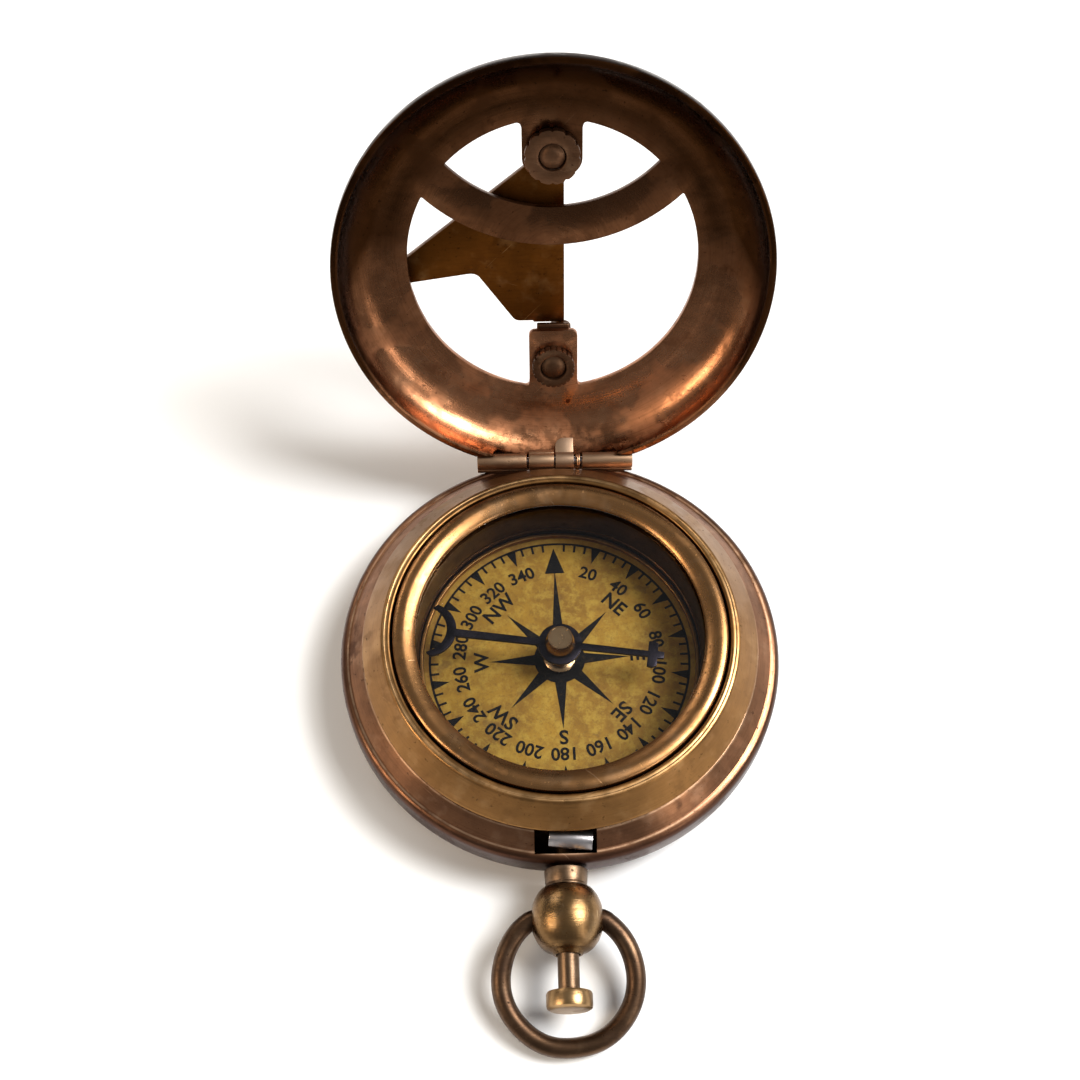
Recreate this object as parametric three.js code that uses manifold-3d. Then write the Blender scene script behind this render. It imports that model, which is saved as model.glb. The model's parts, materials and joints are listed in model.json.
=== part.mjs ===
// Pocket sundial compass with a push-button lid.
// Millimetres, +Z up through the dial, +Y towards the lid hinge, -Y towards the pendant.
// The origin is the centre of the case's flat back. The lid stands open, as it rests.
import * as THREE from 'three';
import { mergeVertices } from 'three/addons/utils/BufferGeometryUtils.js';
import Module from 'manifold-3d';

const wasm = await Module();
wasm.setup();

// ---- driving dimensions ----
const CASE_R = 25; // widest radius of the case
const BACK_R = 20.5; // radius of the flat back
const WALL = 0.9; // sheet thickness of case and lid
const LAND_Z = 7; // land that the lid's rim closes onto
const STEP_Z = 8.75; // top of the stepped cone inside the land
const COLLAR_Z = 11.75; // top of the collar
const CROWN_Z = 12.05; // top of the bezel ring
const GAP = 0.3; // clearance between neighbouring pieces
const DIAL_R = 15.95;
const DIAL_Z = 3.6; // printed face of the dial
const BOWL_R = 16.3; // inside radius of the compass bowl
const NEEDLE_Z = 7.6;
const HINGE_Y = 24.1;
const HINGE_Z = 7.9;
const BARREL_R = 0.95; // hinge knuckles
const PIN_R = 0.42;
const LID_OPEN = 118; // degrees from closed
const LID_R = 24.9;
const WINDOW_R = 16.63; // radius of the lid's round window
const LID_IN_Z = 12.35; // inner face of the lid's flat part when closed
const LID_OUT_Z = LID_IN_Z + 0.8;
const BAND_R_IN = 16.4; // crescent band across the window
const BAND_R_OUT = 20.9;
const BAND_S = 46.9; // distance of the band's centre from the hinge
const TOP_S = 36.7; // upper gnomon post, distance from the hinge
const LOW_S = 10.7; // lower gnomon post
const STUD_R = 1.4;
const FOLD_X = 0.9; // gnomon's hinge line
const FOLD_Z = 14.7;
const STEM_Z = 4.5; // height of the pendant and push rod
const BALL_Y = -30.4;
const BALL_R = 3.9;
const ROD_R = 1.15;
const BORE_R = 1.35; // hole that the rod slides in
const BOW_R = 7.15; // bow ring, centre line
const WIRE_R = 1.05;
const BOW_REACH = 6.1; // bow pivot to the ring's centre
const BOW_DROOP = 14.9; // degrees below level, resting on the table
const ROUND = 48; // segments of the large rounds
const SMALL = 16; // segments of the small rounds

const DEG = Math.PI / 180;

// ---- finishes ----
const finish = (color, roughness, metalness = 1) => new THREE.MeshStandardMaterial({ color, roughness, metalness });
const bronze = finish(0x8a5a34, 0.42);
const darkBronze = finish(0x4b2d1a, 0.5);
const brass = finish(0xb08a4a, 0.3);
const copper = finish(0x93603c, 0.4);
const steel = finish(0x9a9aa0, 0.3);
const bluedSteel = finish(0x23222c, 0.35);
const print = finish(0xb09a48, 0.6, 0.2);
const clear = finish(0xe8f0ee, 0.05, 0);

// ---- shape helpers ----
// Closed surface with shared corners and its faces pointing out.
function closed(geometry) {
  const shape = geometry.clone();
  for (const name of Object.keys(shape.attributes)) if (name !== 'position') shape.deleteAttribute(name);
  const merged = mergeVertices(shape, 1e-4);
  const p = merged.attributes.position;
  const faces = [];
  for (let i = 0; i < merged.index.count; i += 3) {
    const face = [0, 1, 2].map((k) => merged.index.getX(i + k));
    if (new Set(face).size === 3) faces.push(face);
  }
  const corner = (k) => new THREE.Vector3().fromBufferAttribute(p, k);
  const volume = faces.reduce((sum, [a, b, c]) => sum + corner(a).dot(corner(b).cross(corner(c))), 0);
  merged.setIndex(faces.flatMap(([a, b, c]) => (volume < 0 ? [a, c, b] : [a, b, c])));
  return merged;
}

function solid(geometry) {
  const shape = closed(geometry);
  const vertProperties = new Float32Array(shape.attributes.position.array);
  const triVerts = new Uint32Array(shape.index.array);
  return new wasm.Manifold(new wasm.Mesh({ numProp: 3, vertProperties, triVerts }));
}

function surface(manifold) {
  const mesh = manifold.getMesh();
  const geometry = new THREE.BufferGeometry();
  geometry.setAttribute('position', new THREE.BufferAttribute(mesh.vertProperties, 3));
  geometry.setIndex(new THREE.BufferAttribute(mesh.triVerts, 1));
  return geometry;
}

// Joins the first list of geometries and cuts the second list out of them.
function carve(keep, cut = []) {
  const body = keep.map(solid).reduce((a, b) => a.add(b));
  return surface(cut.map(solid).reduce((a, b) => a.subtract(b), body));
}

// Turned piece about the Z axis, from [radius, height] pairs.
function turned(profile, segments = SMALL) {
  const points = profile.map(([r, z]) => new THREE.Vector2(r, z));
  return closed(new THREE.LatheGeometry(points, segments).rotateX(Math.PI / 2));
}

// Turned ring whose profile closes on itself.
const ring = (profile, segments = SMALL) => turned([...profile, profile[0]], segments);

// [radius, height] points on a stretch of an ellipse, angles in degrees from outward.
function arc(r, z, a, b, from, to, steps) {
  return Array.from({ length: steps + 1 }, (_, i) => {
    const t = (from + ((to - from) * i) / steps) * DEG;
    return [r + a * Math.cos(t), z + b * Math.sin(t)];
  });
}

const box = (x0, x1, y0, y1, z0, z1) =>
  new THREE.BoxGeometry(x1 - x0, y1 - y0, z1 - z0).translate((x0 + x1) / 2, (y0 + y1) / 2, (z0 + z1) / 2);
const rodZ = (r, z0, z1, segments = SMALL) =>
  new THREE.CylinderGeometry(r, r, z1 - z0, segments).rotateX(Math.PI / 2).translate(0, 0, (z0 + z1) / 2);
const rodX = (r, x0, x1, segments = SMALL) =>
  new THREE.CylinderGeometry(r, r, x1 - x0, segments).rotateZ(Math.PI / 2).translate((x0 + x1) / 2, 0, 0);
const rodY = (r, y0, y1, segments = SMALL) =>
  new THREE.CylinderGeometry(r, r, y1 - y0, segments).translate(0, (y0 + y1) / 2, 0);
const plate = (shape, z0, z1, curveSegments = SMALL) =>
  new THREE.ExtrudeGeometry(shape, { depth: z1 - z0, bevelEnabled: false, curveSegments }).translate(0, 0, z0);
// Turns a piece made about +Z so that its axis runs along -Y, at the height of the pendant.
const alongStem = (geometry) => geometry.rotateX(Math.PI / 2).translate(0, 0, STEM_Z);

const instrument = new THREE.Group();
const lid = new THREE.Group();
const bow = new THREE.Group();

function add(name, geometry, material, parent = instrument) {
  const mesh = new THREE.Mesh(geometry, material);
  mesh.name = name;
  parent.add(mesh);
}

// ---- case ----
const SLOT_HALF = 3.35; // half width of the catch's slot
const POCKET_HALF = 9.7; // half width of the hinge's seat

function caseShell() {
  const wallR = CASE_R - WALL;
  const shell = turned([
    [0, 0],
    ...arc(BACK_R, 4, CASE_R - BACK_R, 4, -90, 0, 5),
    [CASE_R, 6],
    [24.75, 6.7],
    [24.3, LAND_Z],
    [23.95, LAND_Z],
    [22.3, STEP_Z],
    [21.3, STEP_Z],
    [21.3, 8],
    [22.6, 6.4],
    [23.6, 5.6],
    [wallR, 4.6],
    ...arc(BACK_R, 4, CASE_R - BACK_R - WALL, 4 - WALL, 0, -90, 4),
    [0, WALL],
  ], ROUND);
  const slot = box(-SLOT_HALF, SLOT_HALF, -24.05, -20.6, 5.2, STEP_Z + 1);
  const pocket = box(-POCKET_HALF, POCKET_HALF, 22.95, CASE_R + 1, 6.6, STEP_Z + 1);
  const rodHole = alongStem(rodZ(BORE_R + 0.1, 22, 26));
  return carve([shell], [slot, pocket, rodHole]);
}

const collarRing = () =>
  ring([
    [19, STEP_Z + GAP],
    [22.25, STEP_Z + GAP],
    [22.15, STEP_Z + GAP + 0.25],
    [20.1, 11.45],
    [19.8, COLLAR_Z],
    [19.35, COLLAR_Z],
    [19, 11.55],
  ], ROUND);

const compassBowl = () =>
  turned([
    [0, WALL + 0.2],
    [16.6, WALL + 0.2],
    [17.3, 1.8],
    [17.3, 10],
    [18.6, 10],
    [18.6, 10.9],
    [16.95, 10.9],
    [16.95, 9.9],
    [BOWL_R, 9.9],
    [BOWL_R, 2.95],
    [0, 2.95],
  ], ROUND);

const bezelRing = () => ring(arc(17.45, 11.1, 1.25, CROWN_Z - 11.1, 0, 180, 6), ROUND);

add('case_shell', caseShell(), bronze);
add('collar_ring', collarRing(), bronze);
add('compass_bowl', compassBowl(), darkBronze);
add('bezel_ring', bezelRing(), brass);
add('glass', rodZ(16.7, 10.05, 10.8, ROUND), clear);
add('dial_plate', rodZ(DIAL_R, DIAL_Z - 0.4, DIAL_Z, ROUND), print);
add('dial_ring', ring([[15.7, DIAL_Z + 0.15], [16.15, DIAL_Z + 0.15], [16.15, 4.35], [15.7, 4.35]], ROUND), darkBronze);

// ---- needle on its pivot ----
const PIN_TIP_Z = 8.75;
const FLANGE_Z = NEEDLE_Z + 0.55; // cap's flange above the needle's hub

const pivotBase = () =>
  ring([[0.5, 3.75], [1.87, 3.75], [1.87, 4.25], [1.15, 4.45], [1.1, 6.1], [0.5, 6.3]]);
const pivotPin = () => turned([[0, 3.9], [0.38, 3.9], [0.38, 7.85], [0.05, PIN_TIP_Z], [0, PIN_TIP_Z]]);

// Flat needle: a crescent on its north end, a tee on its tail and a round hub with a hole.
function needlePlate() {
  const half = 0.42;
  const shape = new THREE.Shape();
  shape.moveTo(2.45, -half);
  shape.lineTo(10, -0.36);
  shape.lineTo(10, -1.6);
  shape.lineTo(11.1, -1.45);
  shape.lineTo(11.1, -0.5);
  shape.lineTo(11.9, -0.4);
  shape.lineTo(11.9, 0.4);
  shape.lineTo(11.1, 0.5);
  shape.lineTo(11.1, 1.45);
  shape.lineTo(10, 1.6);
  shape.lineTo(10, 0.36);
  shape.lineTo(2.45, half);
  shape.absarc(0, 0, 2.5, 10 * DEG, 170 * DEG, false);
  shape.lineTo(-11.8, 0.36);
  shape.absarc(-15.2, 0, 3.3, 20 * DEG, 78 * DEG, false);
  shape.absarc(-15.9, 0, 2.9, 68 * DEG, -68 * DEG, true);
  shape.absarc(-15.2, 0, 3.3, -78 * DEG, -20 * DEG, false);
  shape.lineTo(-2.45, -half);
  shape.absarc(0, 0, 2.5, 190 * DEG, 350 * DEG, false);
  const hole = new THREE.Path();
  hole.absarc(0, 0, 1.15, 0, 2 * Math.PI, true);
  shape.holes.push(hole);
  return plate(shape, NEEDLE_Z, NEEDLE_Z + 0.4, 12);
}

const needleCap = () =>
  turned([
    [0, 9.75],
    [1.4, 9.75],
    [1.72, FLANGE_Z],
    [0.95, FLANGE_Z],
    [0.95, NEEDLE_Z - 0.25],
    [0.65, NEEDLE_Z - 0.25],
    [0.65, PIN_TIP_Z - 0.2],
    [0, PIN_TIP_Z + 0.4],
  ]);

add('pivot_base', pivotBase(), brass);
add('pivot_pin', pivotPin(), steel);
const needle = new THREE.Group();
needle.rotation.z = -8 * DEG;
instrument.add(needle);
add('needle', needlePlate(), bluedSteel, needle);
add('needle_cap', needleCap(), brass, needle);

// ---- lid hinge ----
const toHinge = (geometry) => geometry.translate(0, HINGE_Y, HINGE_Z);

function caseKnuckle(x0, x1) {
  const barrel = toHinge(rodX(BARREL_R, x0, x1));
  const foot = box(x0, x1, HINGE_Y - 0.9, HINGE_Y + 0.8, 6.72, HINGE_Z);
  return carve([barrel, foot], [toHinge(rodX(PIN_R + 0.08, x0 - 1, x1 + 1))]);
}

// Two turns of the lift spring's wire with a tail that leans on the hinge seat.
function springCoil() {
  const wire = 0.14;
  const coil = rodX(PIN_R + 0.45, 2.45, 3.05);
  const tail = box(2.5, 3, -0.5, 0.5, -1.1, -wire).translate(0, 0.35, 0);
  return toHinge(carve([coil, tail], [rodX(PIN_R + 0.1, 2, 4)]));
}

add('hinge_knuckle_left', caseKnuckle(-9.3, -3.4), copper);
add('hinge_knuckle_right', caseKnuckle(3.3, 9.3), copper);
add('hinge_pin', toHinge(rodX(PIN_R, -9.2, 9.2)), steel);
add('lift_spring_coil', springCoil(), brass);

// ---- pendant with the push button ----
const pendantNeck = () => alongStem(ring([[BORE_R, 25.25], [2.36, 25.25], [2.36, 27.05], [BORE_R, 27.05]]));

function pendantBall() {
  const mid = -BALL_Y;
  const ball = ring([
    [2, 27.3],
    ...arc(0, mid, BALL_R, BALL_R, -52.6, 69.5, 9),
    [BORE_R, mid + 3.65],
    [BORE_R, mid + 2.3],
    [2, mid + 2.3],
  ]);
  const sockets = rodX(WIRE_R + 0.12, 2.2, 5).translate(0, BALL_Y, STEM_Z);
  const mirror = rodX(WIRE_R + 0.12, -5, -2.2).translate(0, BALL_Y, STEM_Z);
  return carve([alongStem(ball)], [sockets, mirror]);
}

const pushRod = () =>
  alongStem(turned([[0, 21.5], [ROD_R, 21.5], [ROD_R, 31.9], [1.8, 31.9], [1.8, 32.4], [ROD_R, 32.4], [ROD_R, 38], [0, 38]]));
const buttonHead = () => alongStem(turned([[0, 38.05], [2.2, 38.05], [2.45, 38.3], [2.45, 39.6], [2.1, 40], [0, 40]]));

// Bent latch arm on the rod's inner end. Its bevelled nose looks out of the slot, off centre and a little askew.
const CATCH_X = 0.6; // middle of the nose
const CATCH_HALF = 2.35;
const CATCH_TURN = 6; // degrees

function catchArm() {
  const side = new THREE.Shape([
    new THREE.Vector2(20.2, 3),
    new THREE.Vector2(21.2, 3),
    new THREE.Vector2(21.2, 6.95),
    new THREE.Vector2(23.55, 6.95),
    new THREE.Vector2(23.55, 7.35),
    new THREE.Vector2(22.9, 8.2),
    new THREE.Vector2(22.2, 8.2),
    new THREE.Vector2(21.3, 7.4),
    new THREE.Vector2(20.2, 7.4),
  ]);
  const noseY = -22.3;
  const arm = plate(side, -CATCH_HALF, CATCH_HALF).rotateX(Math.PI / 2).rotateZ(-Math.PI / 2);
  return arm.translate(0, -noseY, 0).rotateZ(-CATCH_TURN * DEG).translate(CATCH_X, noseY, 0);
}

// Return spring around the rod, inside the ball.
function buttonSpring() {
  const turns = 5;
  const from = 27.35;
  const to = 31.7;
  const points = Array.from({ length: turns * 10 + 1 }, (_, i) => {
    const t = (i / 10) * 2 * Math.PI;
    return new THREE.Vector3(1.6 * Math.cos(t), 1.6 * Math.sin(t), from + ((to - from) * i) / (turns * 10));
  });
  const section = new THREE.Shape(new THREE.EllipseCurve(0, 0, 0.2, 0.2).getPoints(5).slice(0, -1));
  const path = new THREE.CatmullRomCurve3(points);
  return alongStem(new THREE.ExtrudeGeometry(section, { steps: turns * 9, extrudePath: path }));
}

add('pendant_neck', pendantNeck(), bronze);
add('pendant_ball', pendantBall(), brass);
add('push_rod', pushRod(), brass);
add('button_head', buttonHead(), brass);
add('catch', catchArm(), steel);
add('button_spring', buttonSpring(), steel);

// ---- bow ring, hung in the ball's side sockets ----
function bowRing() {
  const gapAngle = Math.asin(3.75 / BOW_R);
  const steps = 22;
  const points = [new THREE.Vector3(-2.5, 0, 0), new THREE.Vector3(-3.2, 0, 0)];
  for (let i = 0; i <= steps; i += 1) {
    const t = Math.PI / 2 + gapAngle + ((2 * Math.PI - 2 * gapAngle) * i) / steps;
    points.push(new THREE.Vector3(BOW_R * Math.cos(t), BOW_R * Math.sin(t) - BOW_REACH, 0));
  }
  points[2].set(-4.25, -0.35, 0);
  points[points.length - 1].set(4.25, -0.35, 0);
  points.push(new THREE.Vector3(3.2, 0, 0), new THREE.Vector3(2.5, 0, 0));
  const section = new THREE.Shape(new THREE.EllipseCurve(0, 0, WIRE_R, WIRE_R).getPoints(8).slice(0, -1));
  const path = new THREE.CatmullRomCurve3(points);
  return new THREE.ExtrudeGeometry(section, { steps: 44, extrudePath: path });
}

bow.position.set(0, BALL_Y, STEM_Z);
bow.rotation.x = BOW_DROOP * DEG;
instrument.add(bow);
add('bow_ring', bowRing(), darkBronze, bow);

// ---- lid, drawn closed and then swung open about the hinge ----
const onLid = (s) => HINGE_Y - s; // Y of a place s away from the hinge on the closed lid
const TOP_TAB_HALF = 3.35;
const LOW_TAB_HALF = 2.85;

function lidDish() {
  return ring([
    [24.25, LAND_Z + GAP],
    [LID_R, LAND_Z + GAP],
    ...arc(19, 8, LID_R + 0.05 - 19, LID_OUT_Z - 8.05, 0, 90, 6),
    [WINDOW_R, LID_OUT_Z],
    [WINDOW_R, LID_IN_Z],
    ...arc(19, 8, 5.15, LID_IN_Z - 8.05, 90, 0, 6),
  ], ROUND);
}

// Tab across the window's edge, from its root to its round-cornered end, both distances from the hinge.
function tab(half, root, end, corner) {
  const side = Math.sign(root - end);
  const centreY = onLid(end) - side * corner;
  const shape = new THREE.Shape();
  shape.moveTo(half, onLid(root));
  shape.absarc(half - corner, centreY, corner, 0, (side * Math.PI) / 2, side < 0);
  shape.absarc(corner - half, centreY, corner, (side * Math.PI) / 2, side * Math.PI, side < 0);
  shape.lineTo(-half, onLid(root));
  return plate(shape, LID_IN_Z, LID_OUT_Z, 4);
}

function lidFrame() {
  const band = new THREE.Shape();
  const reach = 50 * DEG;
  band.absarc(0, 0, BAND_R_OUT, -Math.PI / 2 - reach, -Math.PI / 2 + reach, false);
  band.absarc(0, 0, BAND_R_IN, -Math.PI / 2 + reach, -Math.PI / 2 - reach, true);
  const crescent = plate(band, LID_IN_Z, LID_OUT_Z).rotateZ(Math.PI).translate(0, onLid(BAND_S), 0);
  const inside = rodZ(WINDOW_R + 0.6, LID_IN_Z, LID_OUT_Z, ROUND);
  const bandInside = surface(solid(crescent).intersect(solid(inside)));
  const tabs = [tab(TOP_TAB_HALF, 41.2, 34.2, 2), tab(LOW_TAB_HALF, 7, 15.1, 0.7)];
  const holes = [TOP_S, LOW_S].map((s) => rodZ(STUD_R + 0.2, LID_IN_Z - 1, LID_OUT_Z + 1).translate(0, onLid(s), 0));
  const dimple = rodZ(0.35, LID_IN_Z - 3, LID_IN_Z + 0.5, 12).translate(1.7, onLid(5.75), 0);
  const hingeNotch = box(-POCKET_HALF, POCKET_HALF, HINGE_Y - 1.45, CASE_R + 1, LAND_Z, HINGE_Z + 1.45);
  const hingeEdge = box(-POCKET_HALF, POCKET_HALF, HINGE_Y + 0.15, CASE_R + 1, LAND_Z, LID_OUT_Z);
  return carve([lidDish(), bandInside, ...tabs], [...holes, dimple, hingeNotch, hingeEdge]);
}

function lidKnuckle() {
  const barrel = toHinge(rodX(BARREL_R, -3.1, -0.1));
  const leaf = box(-3.1, -0.1, HINGE_Y - 0.85, HINGE_Y + 0.1, HINGE_Z, HINGE_Z + 1.35);
  return carve([barrel, leaf], [toHinge(rodX(PIN_R + 0.08, -4, 1))]);
}

// Flat leg of the lift spring: an eye on the pin and a strip that bears on the lid's inside.
function springLeg() {
  const eye = rodX(PIN_R + 0.4, 0.1, 2.25);
  const strip = box(0.1, 2.25, -0.16, 0.16, 0.3, 2.9).rotateX(42 * DEG);
  return toHinge(carve([eye, strip], [rodX(PIN_R + 0.1, -1, 3)]));
}

// Post on the lid's outer face, with a stud through the tab and an ear that holds the gnomon.
function post(studS, s0, s1, ear0, ear1) {
  const base = box(-1.9, 1.9, onLid(s1), onLid(s0), LID_OUT_Z + 0.15, LID_OUT_Z + 0.8);
  const ear = box(-0.4, 2.1, onLid(ear1), onLid(ear0), LID_OUT_Z + 0.15, FOLD_Z + 0.95);
  const stud = rodZ(STUD_R, 11.2, LID_OUT_Z + 0.5).translate(0, onLid(studS), 0);
  const bore = rodY(0.55, onLid(ear1 + 0.5), onLid(ear0 - 0.5)).translate(FOLD_X, 0, FOLD_Z);
  return carve([base, ear, stud], [bore]);
}

function knurledNut(radius, notches, s) {
  const body = rodZ(radius, LID_IN_Z - 1.15, LID_IN_Z - 0.15, notches * 4);
  const cuts = Array.from({ length: notches }, (_, i) =>
    rodZ(0.28, LID_IN_Z - 2, LID_IN_Z, 8).translate(radius, 0, 0).rotateZ((i / notches) * 2 * Math.PI));
  const hole = rodZ(STUD_R + 0.12, LID_IN_Z - 2, LID_IN_Z);
  return carve([body], [hole, ...cuts]).translate(0, onLid(s), 0);
}

// ---- gnomon, folded flat on the lid's outer face ----
const GNOMON_BASE = [15.4, 35]; // ends of the base edge, distances from the hinge
const STYLE_ANGLE = 52; // slope of the style edge

function gnomonPlate() {
  const [low, high] = GNOMON_BASE;
  const edge = FOLD_X + 0.45;
  const styleAt = (x) => 38 - (edge - x) / Math.tan(STYLE_ANGLE * DEG);
  const outline = new THREE.Shape();
  outline.moveTo(edge, onLid(low));
  outline.lineTo(edge, onLid(high));
  outline.lineTo(-2.6, onLid(high));
  outline.lineTo(-3.4, onLid(styleAt(-3.4)));
  outline.lineTo(-20.4, onLid(styleAt(-20.4)));
  outline.quadraticCurveTo(-21.6, onLid(20.6), -20.6, onLid(20.1));
  outline.lineTo(-9.6, onLid(21.7));
  outline.quadraticCurveTo(-8.7, onLid(21.8), -8.2, onLid(20.9));
  outline.lineTo(-5, onLid(16.4));
  outline.quadraticCurveTo(-4.5, onLid(15.6), -3.8, onLid(15.6));
  outline.lineTo(-2.3, onLid(15.6));
  outline.lineTo(-2.3, onLid(low));
  const sheet = plate(outline, FOLD_Z - 0.5, FOLD_Z + 0.5, 6);
  const pins = [[low - 1.5, low + 0.4], [high - 0.4, high + 1.5]].map(([a, b]) =>
    rodY(0.45, onLid(b), onLid(a)).translate(FOLD_X, 0, FOLD_Z));
  return carve([sheet, ...pins]);
}

lid.position.set(0, HINGE_Y, HINGE_Z);
lid.rotation.x = -LID_OPEN * DEG;
instrument.add(lid);
const leaf = new THREE.Group(); // moves the drawing's origin to the hinge
leaf.position.set(0, -HINGE_Y, -HINGE_Z);
lid.add(leaf);
add('lid_frame', lidFrame(), copper, leaf);
add('lid_knuckle', lidKnuckle(), copper, leaf);
add('lift_spring_leg', springLeg(), brass, leaf);
add('gnomon_post_top', post(TOP_S, 35.4, 38.2, 35.4, 37.2), brass, leaf);
add('gnomon_post_low', post(LOW_S, 9, 15.5, 13.4, 15), brass, leaf);
add('post_nut_top', knurledNut(3.1, 12, TOP_S), darkBronze, leaf);
add('post_nut_low', knurledNut(2.5, 20, LOW_S), darkBronze, leaf);
add('gnomon_plate', gnomonPlate(), brass, leaf);

export default instrument;
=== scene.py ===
"""Pocket sundial compass: fine surfaces, finishes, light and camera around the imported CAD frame."""
import json
import math

import bmesh
import bpy
from mathutils import Matrix, Vector


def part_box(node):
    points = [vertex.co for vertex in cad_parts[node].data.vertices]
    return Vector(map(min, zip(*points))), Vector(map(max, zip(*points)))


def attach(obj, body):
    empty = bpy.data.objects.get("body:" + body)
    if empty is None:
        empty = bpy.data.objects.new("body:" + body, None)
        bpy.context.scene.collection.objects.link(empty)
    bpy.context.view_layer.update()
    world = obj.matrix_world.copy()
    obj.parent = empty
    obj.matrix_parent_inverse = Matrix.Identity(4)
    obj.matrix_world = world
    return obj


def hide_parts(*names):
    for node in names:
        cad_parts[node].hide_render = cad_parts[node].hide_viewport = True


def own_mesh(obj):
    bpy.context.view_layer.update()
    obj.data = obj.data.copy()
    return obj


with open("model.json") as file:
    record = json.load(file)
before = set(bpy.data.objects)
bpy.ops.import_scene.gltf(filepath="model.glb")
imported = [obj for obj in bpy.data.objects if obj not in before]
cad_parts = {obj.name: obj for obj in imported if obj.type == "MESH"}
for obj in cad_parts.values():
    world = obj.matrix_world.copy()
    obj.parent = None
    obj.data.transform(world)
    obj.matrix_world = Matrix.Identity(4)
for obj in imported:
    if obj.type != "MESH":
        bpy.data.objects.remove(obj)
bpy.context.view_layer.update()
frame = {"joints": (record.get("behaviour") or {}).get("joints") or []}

MM = 0.001


# ---------------------------------------------------------------- sizes in millimetres
def span(node):
    """Lowest and highest corner of a CAD node."""
    low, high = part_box(node)
    return low / MM, high / MM


CASE_HIGH = span("case_shell")[1]
COLLAR_LOW, COLLAR_HIGH = span("collar_ring")
BEZEL_LOW, BEZEL_HIGH = span("bezel_ring")
BOWL_LOW, BOWL_HIGH = span("compass_bowl")
GLASS_LOW, GLASS_HIGH = span("glass")
DIAL_LOW, DIAL_HIGH = span("dial_plate")
RING_LOW, RING_HIGH = span("dial_ring")
CAP_LOW, CAP_HIGH = span("needle_cap")
NEEDLE_LOW, NEEDLE_HIGH = span("needle")
BASE_LOW, BASE_HIGH = span("pivot_base")
PIN_LOW, PIN_HIGH = span("pivot_pin")
NECK_LOW, NECK_HIGH = span("pendant_neck")
ROD_LOW, ROD_HIGH = span("push_rod")
HEAD_LOW, HEAD_HIGH = span("button_head")

# case
CASE_R = CASE_HIGH.x
WALL = 0.9
SIDE_R = 20.5  # where the flat back meets the rounded side
SIDE_Z = 4.0
LAND_Z = 7.0  # flat land round the cone
SLOT_HALF = 3.35  # slot for the catch
SLOT_Z = 5.2
SEAT_HALF = 9.7  # seat for the hinge, in the case and in the lid
SEAT_Y = 22.95
SEAT_END = 26.0
SEAT_Z = 6.6
ABOVE_CASE = 9.8  # top of the cutters
BOWL_R = 17.3
BOWL_IN = 16.3
BOWL_FLOOR = 2.95
LIP_R = 18.6
LIP_Z = 10.0
LEDGE_R = 16.95
LEDGE_Z = 9.9  # the glass lies on it
GLASS_R = 16.7

# dial
DIAL_Z = DIAL_HIGH.z
DIAL_R = 15.95
INK_THICK = 0.03
GRADUATION_R = 15.0
LINE_HALF = 0.13
DEGREES_R = 11.5
LETTERS_R = 9.5
SIDE_LETTERS_R = 8.95

# joints
JOINTS = {joint["name"]: joint for joint in frame["joints"]}
HINGE = Vector(JOINTS["lid_hinge"]["pos_m"]) / MM
LID_ANGLE = math.radians(JOINTS["lid_hinge"]["range_deg"][1])
STEM_Z = JOINTS["bow_swing"]["pos_m"][2] / MM
BALL_Y = JOINTS["bow_swing"]["pos_m"][1] / MM

# hinge
EYE_R = 0.5  # bore of the knuckles
BARREL_R = 0.95

# lid, drawn closed; a distance called s runs from the hinge towards the free end
LID_IN = 12.35  # inner face of the flat part
LID_OUT = 13.15
DISH_R = 24.95  # outer edge of the dished rim
DISH_Z = 8.0
FLAT_R = 19.0  # the lid is flat inside this radius and dished outside it
WINDOW_R = 16.63
BAND_S = 46.9  # centre of the crescent band's arcs
BAND_IN = 16.4
BAND_OUT = 20.9
TAB_FLARE = 0.5  # how much wider a tab is at its root
TOP_S = 36.7  # the two gnomon posts
LOW_S = 10.7
STUD_R = 1.4
FOLD_X = 0.9  # the gnomon's own hinge line
FOLD_Z = 14.7
GNOMON_EDGE_X = FOLD_X + 0.45
LATITUDE = math.radians(52)

# pendant, button and bow
BORE_R = 1.35
BALL_R = 3.9
BALL_FULLNESS = 0.28  # how far the ball swells towards a barrel
ROD_R = 1.15
CATCH_HALF = 2.35
NOSE_Y = -22.3  # the catch stands askew about its nose
BOW_R = 7.15
WIRE_R = 1.05
BOW_REACH = 6.1
BOW_DROOP = math.radians(14.9)

# needle
NEEDLE_TURN = math.radians(-8)
HUB_R = 2.5

LID_PLACE = (
    Matrix.Translation(HINGE) @ Matrix.Rotation(-LID_ANGLE, 4, "X") @ Matrix.Translation(-HINGE)
)
STEM_PLACE = Matrix.Translation((0, 0, STEM_Z)) @ Matrix.Rotation(math.pi / 2, 4, "X")
BOW_PLACE = Matrix.Translation((0, BALL_Y, STEM_Z)) @ Matrix.Rotation(BOW_DROOP, 4, "X")
NEEDLE_PLACE = Matrix.Rotation(NEEDLE_TURN, 4, "Z")
PRINT_PLACE = Matrix.Rotation(math.radians(1.5), 4, "Z")  # the card sits a little askew
HINGE_PLACE = Matrix.Translation(HINGE)
TO_X = Matrix.Rotation(math.pi / 2, 4, "Y")  # lays a shape turned about Z along the hinge


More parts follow.
